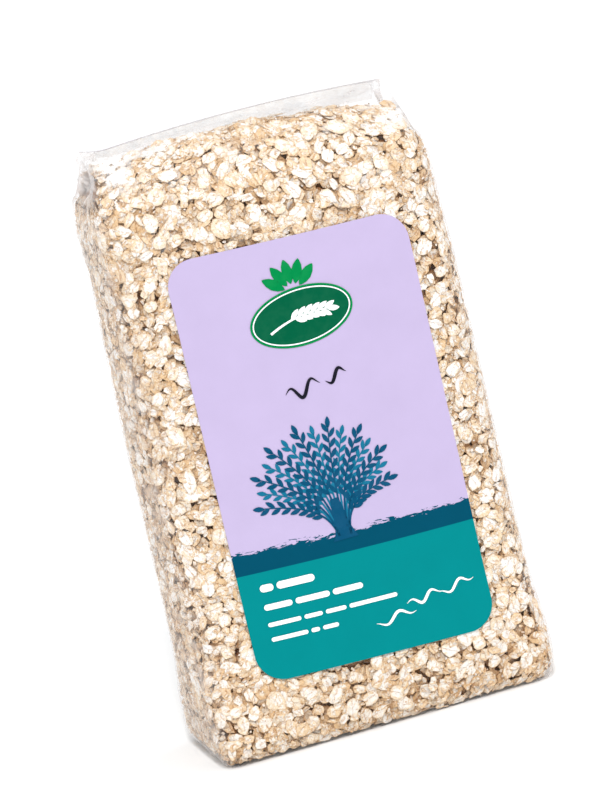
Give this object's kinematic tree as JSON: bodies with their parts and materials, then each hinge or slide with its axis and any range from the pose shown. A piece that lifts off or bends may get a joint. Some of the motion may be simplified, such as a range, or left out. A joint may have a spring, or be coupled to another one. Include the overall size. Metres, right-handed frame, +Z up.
{
  "type": "clear film bag of rolled oats",
  "caption": "Standing clear film brick bag filled with rolled grain flakes, with a flat folded base, a folded top seam and a plain printed front label.",
  "frame": {"origin": "middle of the footprint, on the surface the pack stands on", "axes": "+Z up along the pack, -Y towards the labelled front, +X to the right seen from the front"},
  "size_m": [0.1434, 0.0696, 0.25],
  "materials": {
    "clear_film": "thin clear glossy film drawn tight over pale flakes",
    "oat_flakes": "dry, dull, mealy grain flakes, cream with tan creases",
    "printed_label": "satin coated label with flat print"
  },
  "bodies": {
    "root": {"bag": "clear_film", "label": "printed_label"}
  },
  "joints": []
}
